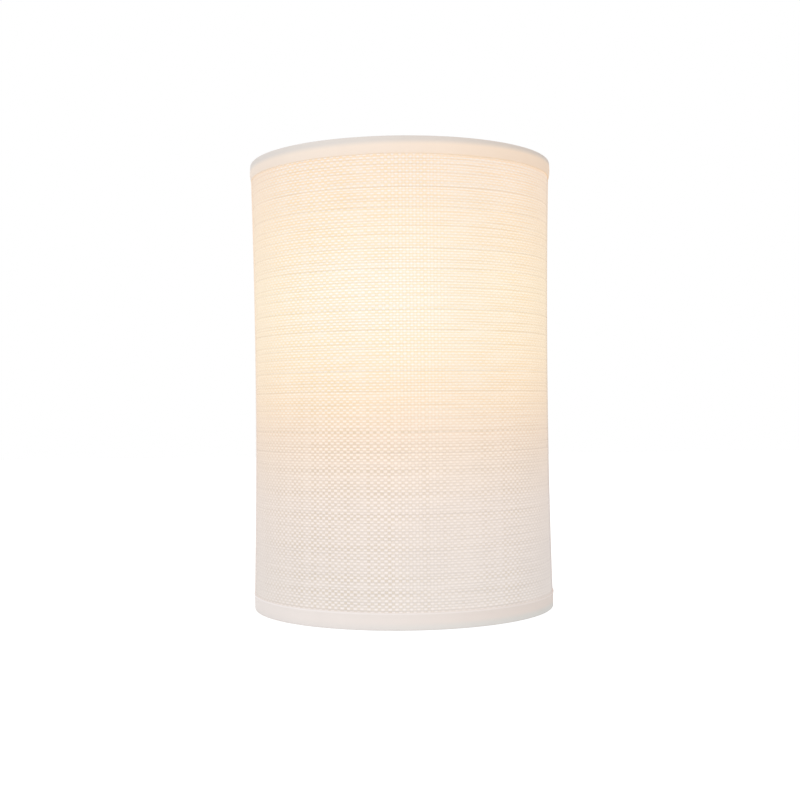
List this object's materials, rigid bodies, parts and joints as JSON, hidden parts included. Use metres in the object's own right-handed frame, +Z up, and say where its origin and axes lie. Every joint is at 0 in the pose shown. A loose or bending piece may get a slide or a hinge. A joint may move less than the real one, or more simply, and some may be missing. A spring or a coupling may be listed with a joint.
{
  "type": "fabric shade wall light",
  "caption": "Half-round woven fabric shade on a wire frame, hung over a steel wall tray with a lamp arm, a screw lampholder and a lit golf-ball lamp.",
  "frame": {"origin": "middle of the wall strap's back face, on the wall plane and half way up the shade", "axes": "+Z up, -Y out of the wall into the room, +X to the right as seen from the room"},
  "size_m": [0.19, 0.0996, 0.28],
  "materials": {
    "zinc_steel": "bright zinc plated",
    "white_enamel": "white powder coat",
    "nickel": "polished nickel",
    "wire_enamel": "white epoxy coated wire",
    "terminal_plastic": "natural polyamide",
    "brass": "plain brass",
    "brown_insulation": "smooth",
    "blue_insulation": "smooth",
    "green_insulation": "green with a yellow stripe",
    "sleeving": "braided glass fibre",
    "black_rubber": "matt",
    "white_thermoset": "moulded gloss",
    "steatite": "unglazed",
    "cap_metal": "nickel plated",
    "black_insulator": "black",
    "lamp_white": "satin white",
    "opal_dome": "opal, lit warm white",
    "board_white": "white solder mask",
    "chip_phosphor": "phosphor, lit warm white",
    "board_green": "green solder mask",
    "shade_weave": "plain weave with fine slubs, glowing where the lamp is behind it",
    "shade_backing": "translucent styrene sheet",
    "shade_tape": "smooth folded cotton tape"
  },
  "bodies": {
    "wall_unit": {"wall_strap": "zinc_steel", "strap_studs": "zinc_steel", "back_tray": "white_enamel", "cap_nuts": "nickel", "shade_hooks": "white_enamel", "terminal_block": "terminal_plastic", "terminal_tubes": "brass", "terminal_screws": "zinc_steel", "terminal_fixing_screws": "zinc_steel", "earth_screw": "zinc_steel", "earth_washer": "zinc_steel", "earth_tag": "brass", "earth_lead": "green_insulation", "live_lead": "brown_insulation", "neutral_lead": "blue_insulation", "lead_sleeving": "sleeving", "flex_grommet": "black_rubber", "lamp_arm": "white_enamel", "arm_screws": "zinc_steel", "arm_nuts": "zinc_steel", "threaded_nipple": "zinc_steel", "nipple_washer": "zinc_steel", "nipple_nut": "zinc_steel", "holder_cap": "white_thermoset", "holder_skirt": "white_thermoset", "holder_core": "steatite", "holder_screws": "brass", "thread_sleeve": "brass", "centre_contact": "brass"},
    "bulb_base": {"bulb_contact_pin": "zinc_steel", "bulb_insulator": "black_insulator"},
    "bulb": {"bulb_cap_shell": "cap_metal", "bulb_housing": "lamp_white", "bulb_dome": "opal_dome", "led_board": "board_white", "led_chips": "chip_phosphor", "driver_board": "board_green"},
    "shade": {"shade_fabric": "shade_weave", "shade_liner": "shade_backing", "top_ring": "wire_enamel", "bottom_ring": "wire_enamel", "frame_stiles": "wire_enamel", "frame_crossbars": "wire_enamel", "top_tape": "shade_tape", "bottom_tape": "shade_tape", "left_edge_tape": "shade_tape", "right_edge_tape": "shade_tape"}
  },
  "joints": [
    {"name": "shade_lift", "type": "slide", "parent": "wall_unit", "child": "shade", "axis": [0, 0, 1], "range_m": [0, 0.012]},
    {"name": "bulb_rise", "type": "slide", "parent": "wall_unit", "child": "bulb_base", "axis": [0, 0, 1], "range_m": [0, 0.01129]},
    {"name": "bulb_turn", "type": "hinge", "parent": "bulb_base", "child": "bulb", "pos_m": [0, -0.057, 0.03], "axis": [0, 0, 1], "range_deg": [0, 1440]}
  ],
  "couplings": [
    {"joint": "bulb_rise", "follows": "bulb_turn", "m_per_rad": 0.00044913}
  ]
}
